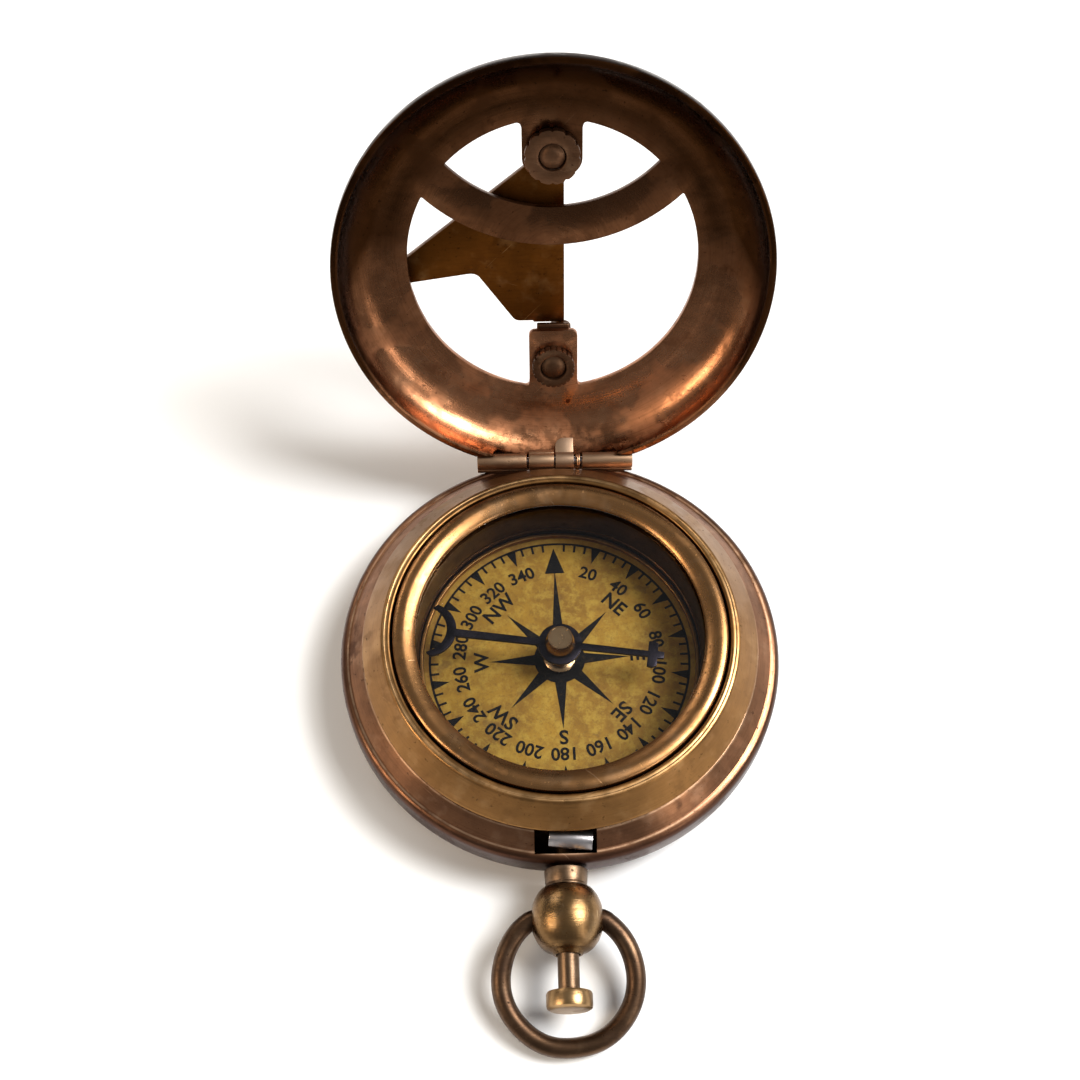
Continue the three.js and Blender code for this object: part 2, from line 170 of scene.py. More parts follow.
# ---------------------------------------------------------------- shader maths
class Value:
    """A socket in a material, so that shader maths reads as an expression."""

    def __init__(self, finish, socket):
        self.finish = finish
        self.socket = socket

    def math(self, operation, *terms):
        """Math node on the terms."""
        return self.finish.node("ShaderNodeMath", {"operation": operation}, dict(enumerate(terms)))

    def __add__(self, other):
        return self.math("ADD", self, other)

    def __sub__(self, other):
        return self.math("SUBTRACT", self, other)

    def __mul__(self, other):
        return self.math("MULTIPLY", self, other)

    def __pow__(self, other):
        return self.math("POWER", self, other)

    def __rsub__(self, other):
        return self.math("SUBTRACT", other, self)

    __radd__ = __add__
    __rmul__ = __mul__

    def clamp(self):
        """Kept between 0 and 1."""
        return self.finish.node("ShaderNodeClamp", None, {"Value": self})

    def above(self, edge, softness):
        """0 below edge, 1 above it, smooth over softness."""
        inputs = {"Value": self, 1: edge - softness, 2: edge + softness}
        return self.finish.node("ShaderNodeMapRange", {"interpolation_type": "SMOOTHSTEP"}, inputs)

    def near(self, centre, width):
        """1 at centre, falling to 0 at width away from it."""
        away = self.math("ABSOLUTE", self - centre)
        return 1 - away.above(width * 0.6, width * 0.4)


class Finish:
    """A procedural material under construction."""

    def __init__(self, name):
        self.material = bpy.data.materials.new(name)
        self.material.use_nodes = True
        self.tree = self.material.node_tree
        self.tree.nodes.clear()

    def node(self, kind, settings=None, inputs=None, output=0):
        """Adds a node, sets it and then its sockets, and gives back one output."""
        node = self.tree.nodes.new(kind)
        for key, value in (settings or {}).items():
            setattr(node, key, value)
        for key, value in (inputs or {}).items():
            if isinstance(value, Value):
                self.tree.links.new(value.socket, node.inputs[key])
            else:
                node.inputs[key].default_value = value
        return Value(self, node.outputs[output]) if node.outputs else None

    def place(self, location=(0, 0, 0), rotation=(0, 0, 0)):
        """Object coordinates, moved and turned."""
        raw = self.node("ShaderNodeTexCoord", output=3)
        inputs = {"Vector": raw, "Location": location, "Rotation": rotation}
        return self.node("ShaderNodeMapping", None, inputs)

    def parts(self, vector):
        """The three numbers of a vector."""
        first = self.node("ShaderNodeSeparateXYZ", None, {0: vector})
        node = first.socket.node
        return [Value(self, node.outputs[i]) for i in range(3)]

    def join(self, x, y, z):
        """Vector of three numbers."""
        return self.node("ShaderNodeCombineXYZ", None, {0: x, 1: y, 2: z})

    def noise(self, vector, scale, detail=3.0, rough=0.55):
        """Cloudy pattern from 0 to 1."""
        inputs = {"Vector": vector, "Scale": scale, "Detail": detail, "Roughness": rough}
        return self.node("ShaderNodeTexNoise", None, inputs)

    def mix(self, factor, first, second):
        """Colours: first where factor is 0, second where it is 1."""
        colours = [c if isinstance(c, Value) else (*c, 1) for c in (first, second)]
        inputs = {0: factor, 6: colours[0], 7: colours[1]}
        return self.node("ShaderNodeMix", {"data_type": "RGBA"}, inputs, output=2)

    def bump(self, height, strength, distance):
        """Normal of a relief."""
        inputs = {"Height": height, "Strength": strength, "Distance": distance}
        return self.node("ShaderNodeBump", None, inputs)

    def surface(self, colour, roughness, metallic=1.0, normal=None, **constants):
        """Finishes the material, with any constants set on the shader's own sockets."""
        inputs = {"Base Color": colour if isinstance(colour, Value) else (*colour, 1)}
        inputs.update({"Roughness": roughness, "Metallic": metallic})
        if normal is not None:
            inputs["Normal"] = normal
        inputs.update({key.replace("_", " "): value for key, value in constants.items()})
        shader = self.node("ShaderNodeBsdfPrincipled", None, inputs)
        self.node("ShaderNodeOutputMaterial", None, {"Surface": shader})
        return self.material


def radial(finish, point):
    """Radius, angle and height of a point about the piece's turning axis."""
    x, y, z = finish.parts(point)
    radius = (x * x + y * y) ** 0.5
    angle = y.math("ARCTAN2", y, x)
    return radius, angle, z


# ---------------------------------------------------------------- finishes
def hairlines(f, point):
    """Sparse straight scratches in two directions."""
    x, y, z = f.parts(point)
    first = f.noise(f.join((x + y) * 2300, (x - y) * 70, z * 500), 1.0, 2).above(0.72, 0.02)
    second = f.noise(f.join((x * 0.3 - y) * 2600, (x + y * 0.3) * 90, z * 500), 1.0, 2).above(0.73, 0.02)
    return (first + second).clamp()


def aged_metal(name, light, dark, worn, rough, patina=0.5, location=(0, 0, 0), rotation=(0, 0, 0),
               turned=True, shade=None, rims=(), grain=0.5, waves=1.0):
    """Old brass or bronze: cloudy patina, stains, specks, lathe marks, scratches, and bright rims that are
    partly wear and partly painted highlight.

    The rims are pairs of radius and width in millimetres, grain is the marks' relief and waves the dents'.
    """
    f = Finish(name)
    point = f.place(location, rotation)
    radius, angle, height = radial(f, point)
    cloud = f.noise(point, 110, 4)
    mottle = f.noise(point, 620, 5, 0.65)
    specks = f.noise(point, 2100, 2).above(0.70, 0.04)
    if turned:
        marks = f.noise(f.join(radius * 5200, angle * 2.2, height * 5200), 1.0, 3, 0.7)
    else:
        x, y, z = f.parts(point)
        marks = f.noise(f.join(x * 420, y * 4200, z * 900), 1.0, 3, 0.7)
    tarnish = (cloud.above(1 - patina, 0.28) * 0.5 + mottle.above(0.56, 0.3) * 0.3).clamp()
    colour = f.mix(tarnish, light, dark)
    colour = f.mix(marks.above(0.56, 0.1) * 0.22, colour, dark)
    scratches = hairlines(f, point) * f.noise(point, 130, 2).above(0.54, 0.1)
    wear_and_rim_highlight = f.noise(point, 380, 3).above(0.62, 0.12) * 0.22 + scratches * 0.5
    # bright rims: partly worn edges, partly painted highlight along them
    for centre, width in rims:
        wear_and_rim_highlight = wear_and_rim_highlight + radius.near(centre * MM, width * MM) * mottle.above(0.4, 0.18) * 0.8
    colour = f.mix(wear_and_rim_highlight.clamp(), colour, worn)
    # if a shade function is given, its painted shade is laid over the colour
    if shade is not None:
        colour = f.mix(shade(f, point).clamp(), colour, dark)
    stains = f.noise(point, 240, 4, 0.7).above(0.63, 0.05)
    colour = f.mix(stains * 0.4, colour, dark)
    colour = f.mix(specks * 0.55, colour, tuple(0.35 * c for c in dark))
    dull = f.noise(point, 150, 3, 0.6).above(0.53, 0.05) * (0.05 * waves)
    roughness = (rough - 0.08 + mottle * 0.16 + marks * 0.1 + specks * 0.2 + stains * 0.12 + dull).clamp()
    swell = f.noise(point, 95, 2) * (3.2 * waves) + f.noise(point, 330, 2) * (0.7 * waves)
    relief = swell + marks * grain + mottle * 0.35 - specks * 0.4 - scratches * 0.5
    return f.surface(colour, roughness, 1.0, f.bump(relief, 0.16, 0.00012))


def lid_inside_shade(f, point):
    """Painted shade, darker towards the lid's free end, round the dish wall and along its rim, and real
    grime by the hinge.
    """
    _, y, _ = f.parts(point)
    radius, _, _ = radial(f, point)
    # painted shade: darker towards the free end, a little less within 17 mm of the middle
    upper = ((0.018 - y) * 46).clamp() * (0.86 + radius.above(0.0172, 0.002) * 0.14)
    # painted shade on the dish wall, holding down its bright reflection
    wall = radius.above(0.0222, 0.002) * upper * 0.35
    grime = y.above(0.0215, 0.0012) * f.noise(point, 900, 4, 0.7).above(0.52, 0.06) * 0.45
    # the darkening along the rim is painted shade; the grime by the hinge is real dirt
    return upper * 0.97 + wall + radius.above(0.0240, 0.0003) * 0.6 + grime


def case_shade(f, point):
    """Painted shade: darker round the side and below the land, holding down the side's highlight and the
    floor's reflection.
    """
    radius, _, height = radial(f, point)
    # painted shade round the side and below the land, the slot floor included
    return radius.above(0.0244, 0.0004) * 0.75 + (1 - height.above(0.0064, 0.0008)) * 0.35


def lid_turn():
    """Location and rotation that bring the open lid's points back to the closed lid, for its patterns."""
    back = LID_PLACE.inverted()
    return {"location": tuple(back.translation * MM), "rotation": (LID_ANGLE, 0, 0)}


def dial_gold():
    """Aged gold dial paper: mottled yellow with foxing, and painted shade browning it towards the rim."""
    f = Finish("dial_gold")
    point = f.place()
    radius, _, _ = radial(f, point)
    cloud = f.noise(point, 170, 4, 0.6)
    grain = f.noise(point, 900, 5, 0.7)
    fox = f.noise(point, 420, 3).above(0.66, 0.05)
    fleck = f.noise(point, 2600, 3, 0.7)
    colour = f.mix(cloud.above(0.5, 0.2), (0.47, 0.255, 0.026), (0.27, 0.13, 0.014))
    colour = f.mix(grain.above(0.54, 0.12) * 0.6, colour, (0.56, 0.36, 0.055))
    colour = f.mix(fleck.above(0.58, 0.08) * 0.4, colour, (0.2, 0.095, 0.014))
    colour = f.mix(fox * 0.5, colour, (0.16, 0.075, 0.02))
    # painted shade, browner towards the rim by the bowl wall
    colour = f.mix(radius.above(0.0148, 0.0016) * 0.4, colour, (0.2, 0.1, 0.025))
    normal = f.bump(grain, 0.12, 0.00008)
    return f.surface(colour, 0.42 + grain * 0.2, 0.35, normal)


def dial_ink():
    """Black print with its edges a little rubbed."""
    f = Finish("dial_ink")
    point = f.place()
    worn = f.noise(point, 1500, 3)
    colour = f.mix(worn.above(0.62, 0.1) * 0.4, (0.006, 0.005, 0.006), (0.05, 0.03, 0.015))
    return f.surface(colour, 0.4 + worn * 0.25, 0.0, Specular_IOR_Level=0.12)


def steel(name, tone, rough):
    """Fine-grained steel with darker clouds."""
    f = Finish(name)
    point = f.place()
    grain = f.noise(point, 1900, 4, 0.7)
    cloud = f.noise(point, 300, 3)
    colour = f.mix(cloud.above(0.52, 0.15), tone, tuple(0.5 * c for c in tone))
    normal = f.bump(grain, 0.2, 0.00005)
    return f.surface(colour, rough + grain * 0.2, 1.0, normal)


def clear_glass():
    """Thin flat glass: see-through, with a gloss that grows towards grazing and a little dust."""
    f = Finish("glass")
    fresnel = f.node("ShaderNodeFresnel", None, {"IOR": 1.42})
    dust = f.noise(f.place(), 260, 4).above(0.68, 0.1)
    through = f.node("ShaderNodeBsdfTransparent", None, {"Color": (0.97, 0.975, 0.96, 1)})
    gloss = {"Base Color": (1, 1, 1, 1), "Metallic": 1.0, "Roughness": 0.04}
    shine = f.node("ShaderNodeBsdfPrincipled", None, gloss)
    glint = (fresnel * 0.55 + dust * 0.004).clamp()
    both = f.node("ShaderNodeMixShader", None, {0: glint, 1: through, 2: shine})
    f.node("ShaderNodeOutputMaterial", None, {"Surface": both})
    return f.material


def floor_white():
    """Matt white floor with a faint grain."""
    f = Finish("floor_white")
    grain = f.noise(f.place(), 60, 2)
    colour = f.mix(grain * 0.06, (0.93, 0.93, 0.92), (0.86, 0.86, 0.86))
    return f.surface(colour, 0.85, 0.0)


ON_LID = lid_turn()
ON_STEM = {"location": (0, 0, -STEM_Z * MM), "rotation": (math.pi / 2, 0, 0)}
CASE_BRONZE = aged_metal(
    "case_bronze", (0.34, 0.16, 0.078), (0.055, 0.024, 0.016), (0.62, 0.38, 0.23), rough=0.26,
    shade=case_shade, rims=((24.12, 0.16), (22.25, 0.2)), waves=2.0)
COLLAR_BRONZE = aged_metal(
    "collar_bronze", (0.30, 0.15, 0.05), (0.15, 0.07, 0.024), (0.55, 0.33, 0.15), rough=0.28, patina=0.45,
    rims=((19.6, 0.35),), waves=2.0)
BEZEL_BRASS = aged_metal(
    "bezel_brass", (0.44, 0.22, 0.085), (0.19, 0.09, 0.034), (0.66, 0.42, 0.24), rough=0.22, patina=0.45)
WELL_DARK = aged_metal(
    "well_dark", (0.085, 0.036, 0.015), (0.022, 0.009, 0.004), (0.2, 0.11, 0.06), rough=0.36, patina=0.6)
LID_COPPER = aged_metal(
    "lid_copper", (0.58, 0.25, 0.118), (0.028, 0.01, 0.003), (0.68, 0.37, 0.2), rough=0.22, patina=0.42,
    shade=lid_inside_shade, waves=4.0, **ON_LID)
HINGE_COPPER = aged_metal(
    "hinge_copper", (0.6, 0.385, 0.235), (0.13, 0.065, 0.035), (0.72, 0.52, 0.34), rough=0.33, turned=False)
SPRING_BRASS = aged_metal(
    "spring_brass", (0.42, 0.28, 0.18), (0.2, 0.12, 0.08), (0.6, 0.42, 0.3), rough=0.38, patina=0.45,
    turned=False)
GNOMON_BRASS = aged_metal(
    "gnomon_brass", (0.12, 0.04, 0.006), (0.055, 0.018, 0.003), (0.36, 0.2, 0.08), rough=0.34, patina=0.42,
    turned=False, **ON_LID)
NUT_BRONZE = aged_metal(
    "nut_bronze", (0.17, 0.085, 0.045), (0.04, 0.018, 0.009), (0.42, 0.26, 0.15), rough=0.36, turned=False,
    **ON_LID)
NECK_BRONZE = aged_metal(
    "neck_bronze", (0.2, 0.125, 0.072), (0.07, 0.042, 0.026), (0.5, 0.36, 0.25), rough=0.3, grain=1.6,
    **ON_STEM)
BALL_BRASS = aged_metal(
    "ball_brass", (0.26, 0.15, 0.06), (0.11, 0.056, 0.025), (0.56, 0.39, 0.22), rough=0.2, patina=0.48,
    grain=2.2, **ON_STEM)
BUTTON_BRASS = aged_metal(
    "button_brass", (0.38, 0.235, 0.105), (0.2, 0.11, 0.05), (0.66, 0.47, 0.28), rough=0.26, patina=0.4,
    grain=1.4, **ON_STEM)
CAP_BRASS = aged_metal(
    "cap_brass", (0.6, 0.38, 0.21), (0.3, 0.18, 0.1), (0.9, 0.7, 0.46), rough=0.18, patina=0.35)
BOW_BRONZE = aged_metal(
    "bow_bronze", (0.13, 0.072, 0.038), (0.032, 0.019, 0.014), (0.3, 0.19, 0.11), rough=0.33, patina=0.55,
    turned=False)
DIAL_GOLD = dial_gold()
INK = dial_ink()
BLUED = steel("blued_steel", (0.03, 0.026, 0.036), 0.3)
PLAIN_STEEL = steel("plain_steel", (0.3, 0.28, 0.29), 0.28)
CATCH_STEEL = steel("catch_steel", (0.66, 0.62, 0.62), 0.22)
GLASS = clear_glass()


# ---------------------------------------------------------------- mesh helpers
def add(thing):
    """Puts an object into the scene."""
    bpy.context.scene.collection.objects.link(thing)


def softened(points, radius, steps=3, closed=True, least=0.0):
    """The outline with each corner sharper than least, in degrees, rounded to about radius."""
    out = []
    count = len(points)
    for i, point in enumerate(points):
        here = Vector(point)
        if not closed and i in (0, count - 1):
            out.append(tuple(here))
            continue
        before = Vector(points[i - 1]) - here
        after = Vector(points[(i + 1) % count]) - here
        if math.pi - before.angle(after) < math.radians(least):
            out.append(tuple(here))
            continue
        reach = min(radius, before.length * 0.45, after.length * 0.45)
        start = here + before.normalized() * reach
        end = here + after.normalized() * reach
        for k in range(steps + 1):
            t = k / steps
            out.append(tuple(start * (1 - t) ** 2 + here * 2 * t * (1 - t) + end * t**2))
    return out


def arc(centre, radius, start, end, steps):
    """Points on a circular arc, or on an elliptical one for a pair of radii; angles in degrees."""
    across, along = radius if isinstance(radius, tuple) else (radius, radius)
    out = []
    for i in range(steps + 1):
        angle = math.radians(start + (end - start) * i / steps)
        out.append((centre[0] + across * math.cos(angle), centre[1] + along * math.sin(angle)))
    return out


def spun(profile, steps=160, closed=True):
    """Turned shape about Z from (radius, height) points, joined last to first where it is closed."""
    bm = bmesh.new()
    verts = [bm.verts.new((r, 0, z)) for r, z in profile]
    edges = [bm.edges.new(pair) for pair in zip(verts, verts[1:])]
    if closed:
        edges.append(bm.edges.new((verts[-1], verts[0])))
    bmesh.ops.spin(bm, geom=verts + edges, cent=(0, 0, 0), axis=(0, 0, 1), angle=math.tau, steps=steps,
                   use_merge=True)
    bmesh.ops.remove_doubles(bm, verts=bm.verts, dist=1e-4)
    bmesh.ops.dissolve_degenerate(bm, edges=bm.edges, dist=1e-5)
    bmesh.ops.recalc_face_normals(bm, faces=bm.faces)
    return bm


def bevelled(bm, width, segments=2, angle=35.0, where=None):
    """Rounds the edges sharper than angle, or those of them that where picks."""
    limit = math.radians(angle)
    sharp = [e for e in bm.edges if len(e.link_faces) == 2 and e.calc_face_angle(0) > limit]
    if where is not None:
        sharp = [e for e in sharp if where(e)]
    bmesh.ops.bevel(bm, geom=sharp, offset=width, segments=segments, profile=0.5, affect="EDGES",
                    clamp_overlap=True, material=-1)
    return bm


def slab(outline, z0, z1, holes=(), bevel=0.0):
    """Flat plate with an outline, holes and rounded edges."""
    bm = bmesh.new()
    edges = []
    for loop in (outline, *holes):
        verts = [bm.verts.new((x, y, z0)) for x, y in loop]
        edges += [bm.edges.new(pair) for pair in zip(verts, verts[1:] + verts[:1])]
    if holes:
        bmesh.ops.triangle_fill(bm, use_beauty=True, edges=edges)
    else:
        bm.faces.new(bm.verts)
    made = bmesh.ops.extrude_face_region(bm, geom=bm.faces[:])["geom"]
    raised = [v for v in made if isinstance(v, bmesh.types.BMVert)]
    bmesh.ops.translate(bm, verts=raised, vec=(0, 0, z1 - z0))
    bmesh.ops.recalc_face_normals(bm, faces=bm.faces)
    if bevel:
        bevelled(bm, bevel)
    return bm


def block(x0, x1, y0, y1, z0, z1, bevel=0.0):
    """Box between two corners, with rounded edges for a piece and sharp ones for a cutter."""
    bm = bmesh.new()
    bmesh.ops.create_cube(bm, size=1)
    bmesh.ops.scale(bm, vec=(x1 - x0, y1 - y0, z1 - z0), verts=bm.verts)
    bmesh.ops.translate(bm, vec=((x0 + x1) / 2, (y0 + y1) / 2, (z0 + z1) / 2), verts=bm.verts)
    if bevel:
        bevelled(bm, bevel, 3)
    return bm


def moved(bm, matrix):
    """The same shape, put in its place."""
    bmesh.ops.transform(bm, matrix=matrix, verts=bm.verts)
    return bm


def merged(*parts):
    """One bmesh of several."""
    out = bmesh.new()
    for part in parts:
        mesh = bpy.data.meshes.new("part")
        part.to_mesh(mesh)
        part.free()
        out.from_mesh(mesh)
        bpy.data.meshes.remove(mesh)
    return out


def cut(bm, tools):
    """The shape with closed tools cut out of it."""
    objects = []
    for part in (bm, *tools):
        mesh = bpy.data.meshes.new("cutting")
        part.to_mesh(mesh)
        part.free()
        thing = bpy.data.objects.new("cutting", mesh)
        add(thing)
        objects.append(thing)
    for tool in objects[1:]:
        modifier = objects[0].modifiers.new("cut", "BOOLEAN")
        modifier.operation = "DIFFERENCE"
        modifier.solver = "EXACT"
        modifier.object = tool
    result = bmesh.new()
    result.from_object(objects[0], bpy.context.evaluated_depsgraph_get())
    for thing in objects:
        bpy.data.objects.remove(thing)
    bmesh.ops.remove_doubles(result, verts=result.verts, dist=1e-4)
    return result


def band(inner, outer, low, high):
    """Profile of a plain ring."""
    return [(inner, low), (outer, low), (outer, high), (inner, high)]


def drill(radius, start, end, place, steps=48):
    """Round cutter along the place's Z."""
    return moved(spun([(0, start), (radius, start), (radius, end), (0, end)], steps, False), place)


def peg(radius, start, end, rounding, corner_steps):
    """Round pin along Z with rounded ends."""
    profile = [(0, start), (radius, start), (radius, end), (0, end)]
    return spun(softened(profile, rounding, corner_steps, False), 32, False)


def helix(radius, start, length, turns, steps):
    """Points of a coil about Z."""
    out = []
    for i in range(steps + 1):
        angle = math.tau * turns * i / steps
        out.append((radius * math.cos(angle), radius * math.sin(angle), start + length * i / steps))
    return out


def tube(points, radius, sides):
    """Round wire along a path, with closed ends."""
    curve = bpy.data.curves.new("wire", "CURVE")
    curve.dimensions = "3D"
    curve.bevel_depth = radius
    curve.bevel_resolution = sides // 4
    curve.use_fill_caps = True
    spline = curve.splines.new("POLY")
    spline.points.add(len(points) - 1)
    for place, point in zip(spline.points, points):
        place.co = (*point, 1)
    return from_curve(curve)


def from_curve(curve):
    """Mesh of a curve or text."""
    thing = bpy.data.objects.new("curve", curve)
    add(thing)
    graph = bpy.context.evaluated_depsgraph_get()
    mesh = bpy.data.meshes.new_from_object(thing.evaluated_get(graph))
    result = bmesh.new()
    result.from_mesh(mesh)
    bpy.data.meshes.remove(mesh)
    bpy.data.objects.remove(thing)
    bpy.data.curves.remove(curve)
    bmesh.ops.remove_doubles(result, verts=result.verts, dist=1e-5)
    bmesh.ops.recalc_face_normals(result, faces=result.faces)
    return result


def lettering(text, size, thick):
    """Flat raised text centred on the origin, reading along +X."""
    curve = bpy.data.curves.new("text", "FONT")
    curve.body = text
    curve.size = size
    curve.align_x = "CENTER"
    curve.align_y = "CENTER"
    curve.extrude = thick / 2
    curve.offset = 0.022 * size
    curve.resolution_u = 3
    return from_curve(curve)


def piece(name, bm, body, material, nodes=(), place=None, smooth=32.0):
    """Finished piece: bm is in millimetres, and place puts it where it belongs."""
    moved(bm, Matrix.Scale(MM, 4) @ (place or Matrix.Identity(4)))
    mesh = bpy.data.meshes.new(name)
    bm.to_mesh(mesh)
    bm.free()
    mesh.shade_smooth()
    mesh.set_sharp_from_angle(angle=math.radians(smooth))
    mesh.materials.append(material)
    thing = bpy.data.objects.new(name, mesh)
    add(thing)
    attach(thing, body)
    if nodes:
        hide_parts(*nodes)
    return thing


# ---------------------------------------------------------------- case
def case_piece():
    """Spun cup: flat back, round side, land and cone, cut out for the catch, the hinge and the push rod."""
    top = CASE_HIGH.z
    profile = [(0, 0), *arc((SIDE_R, SIDE_Z), (CASE_R - SIDE_R, SIDE_Z), -90, 0, 14), (CASE_R, 6.0)]
    profile += [(24.93, 6.35), (24.72, 6.72), (24.45, 6.93), (24.2, LAND_Z), (24.0, LAND_Z)]
    profile += [(23.88, LAND_Z + 0.04), (22.42, 8.58), (22.25, 8.72), (22.05, top), (21.3, top)]
    profile += [(21.3, 8), (22.6, 6.4), (23.6, 5.6), (CASE_R - WALL, 4.6)]
    profile += arc((SIDE_R, SIDE_Z), (CASE_R - WALL - SIDE_R, SIDE_Z - WALL), 0, -90, 10) + [(0, WALL)]
    slot = block(-SLOT_HALF, SLOT_HALF, -24.05, -20.6, SLOT_Z, ABOVE_CASE)
    seat = block(-SEAT_HALF, SEAT_HALF, SEAT_Y, SEAT_END, SEAT_Z, ABOVE_CASE)
    shell = cut(spun(profile, 240, False), [slot, seat, drill(1.45, 22, 26, STEM_PLACE)])
    piece("case", shell, "case", CASE_BRONZE, ["case_shell"], smooth=28)


def collar_piece():
    """Upper step of the cone, with a fine groove near its inner edge."""
    low, high = COLLAR_LOW.z, COLLAR_HIGH.z
    profile = [(19, low), (22.2, low), (22.25, low + 0.1), (22.15, low + 0.28), (20.12, high - 0.3)]
    profile += [(20.0, high - 0.12), (19.82, high - 0.01), (19.66, high), (19.6, high - 0.05)]
    profile += [(19.5, high - 0.05), (19.42, high), (19.2, high), (19.06, high - 0.04), (19.0, high - 0.12)]
    piece("collar", spun(profile, 240), "case", COLLAR_BRONZE, ["collar_ring"], smooth=40)


def bowl_piece():
    """Cup that holds the dial, with a lip under the bezel, a ledge for the glass and a ridge in its wall."""
    low, top = BOWL_LOW.z, BOWL_HIGH.z
    profile = [(0, low), (16.6, low), (BOWL_R, 1.8), (BOWL_R, LIP_Z), (LIP_R, LIP_Z), (LIP_R, top)]
    profile += [(LEDGE_R, top), (LEDGE_R, LEDGE_Z), (BOWL_IN, LEDGE_Z), (BOWL_IN, 5.3)]
    profile += [(BOWL_IN - 0.12, 5.2), (BOWL_IN - 0.12, 5.05), (BOWL_IN, 4.95)]
    profile += [(BOWL_IN, BOWL_FLOOR), (0, BOWL_FLOOR)]
    piece("bowl", spun(profile, 192, False), "case", WELL_DARK, ["compass_bowl"])


def bezel_piece():
    """Rounded ring that slopes down to the glass."""
    low, high, outer = BEZEL_LOW.z, BEZEL_HIGH.z, BEZEL_HIGH.x
    crest, drop = outer - 0.95, 0.38
    profile = [(outer - 0.1, low), (outer, low + 0.12), (outer, high - drop)]
    profile += arc((crest, high - drop), (outer - crest, drop), 12, 90, 8)
    profile += [(crest - 0.35, high - 0.03), (16.75, high - 0.34), (16.42, high - 0.5), (16.25, high - 0.66)]
    profile += [(16.2, high - 0.8), (16.24, low - 0.04), (16.5, low)]
    piece("bezel", spun(profile, 240), "case", BEZEL_BRASS, ["bezel_ring"], smooth=60)


def glass_piece():
    """Flat disc with its edge ground round."""
    low, high = GLASS_LOW.z, GLASS_HIGH.z
    outline = softened([(0, low), (GLASS_R, low), (GLASS_R, high), (0, high)], 0.1, 3, False)
    piece("glass_disc", spun(outline, 160, False), "case", GLASS, ["glass"])


def dial_piece():
    """Dial plate, and the thin hoop that holds it down."""
    plate = [(0, DIAL_LOW.z), (DIAL_R, DIAL_LOW.z), (DIAL_R, DIAL_Z - 0.05)]
    plate += [(DIAL_R - 0.05, DIAL_Z), (0, DIAL_Z)]
    piece("dial", spun(plate, 160, False), "case", DIAL_GOLD, ["dial_plate"])
    low, high = RING_LOW.z, RING_HIGH.z
    hoop = softened([(15.7, low), (16.15, low), (16.15, high), (15.75, high)], 0.1)
    piece("dial_hoop", spun(hoop, 192), "case", COLLAR_BRONZE, ["dial_ring"])


def polar(radius, bearing):
    """Point at a compass bearing in degrees."""
    angle = math.radians(90 - bearing)
    return Vector((radius * math.cos(angle), radius * math.sin(angle)))


def spike(bearing, tip, base, half):
    """Tapered point of the compass rose, or a pointed mark when its tip is nearer the middle."""
    along = polar(1, bearing)
    side = Vector((-along.y, along.x))
    return [along * base - side * half, along * tip, along * base + side * half]


def tick(bearing, start, end, half):
    """Straight mark between two radii."""
    along = polar(1, bearing)
    side = Vector((-along.y, along.x)) * half
    return [along * start - side, along * end - side, along * end + side, along * start + side]


def dial_text(text, size, radius, bearing, z0, z1):
    """Text with its top outwards."""
    spot = polar(radius, bearing)
    turn = Matrix.Rotation(math.radians(-bearing), 4, "Z")
    return moved(lettering(text, size, z1 - z0), Matrix.Translation((spot.x, spot.y, (z0 + z1) / 2)) @ turn)


def dial_print_piece():
    """Printed degrees, letters, compass rose and hub ring."""
    z0, z1 = DIAL_Z, DIAL_Z + INK_THICK
    parts = [spun(band(GRADUATION_R - LINE_HALF, GRADUATION_R + LINE_HALF, z0, z1), 180)]
    for bearing in range(5, 360, 5):
        if bearing % 20 == 0:
            parts.append(dial_text(str(bearing), 2.1, DEGREES_R, bearing, z0, z1))
            parts.append(slab(spike(bearing, 12.95, GRADUATION_R, 0.58), z0, z1))
        else:
            parts.append(slab(tick(bearing, GRADUATION_R, 14.0, LINE_HALF), z0, z1))
    for i, text in enumerate(("NE", "E", "SE", "S", "SW", "W", "NW")):
        radius = SIDE_LETTERS_R if text in "EW" else LETTERS_R
        parts.append(dial_text(text, 2.35, radius, 45 * (i + 1), z0, z1))
    for bearing in range(0, 360, 45):
        tip = {0: 11.4, 90: 8.1, 180: 8.6, 270: 8.1}.get(bearing, 8.2)
        parts.append(slab(spike(bearing, tip, 2.4, 0.72), z0, z1))
    parts.append(slab(spike(0, 14.45, 11.1, 1.15), z0, z1))
    parts.append(slab(arc((0, 0), 2.95, 0, 352.5, 47), z0, z1 + 0.01))
    piece("dial_lettering", merged(*parts), "case", INK, place=PRINT_PLACE)


def pivot_pieces():
    """Turned boss in the middle of the dial, and the pointed pin that carries the needle."""
    low, top = BASE_LOW.z, BASE_HIGH.z
    boss = [(0.5, low), (1.8, low), (1.87, low + 0.07), (1.87, low + 0.42), (1.78, low + 0.5)]
    boss += [(1.2, low + 0.62), (1.1, low + 0.9), (1.0, low + 1.3), (1.0, top - 0.75), (1.1, top - 0.6)]
    boss += [(1.1, top - 0.3), (0.95, top - 0.08), (0.5, top)]
    piece("pivot_boss", spun(boss, 72), "case", CAP_BRASS, ["pivot_base"])
    low, tip = PIN_LOW.z, PIN_HIGH.z
    pin = [(0, low), (0.38, low), (0.38, tip - 0.9), (0.05, tip - 0.02), (0, tip)]
    piece("pivot", spun(pin, 40, False), "case", PLAIN_STEEL, ["pivot_pin"])


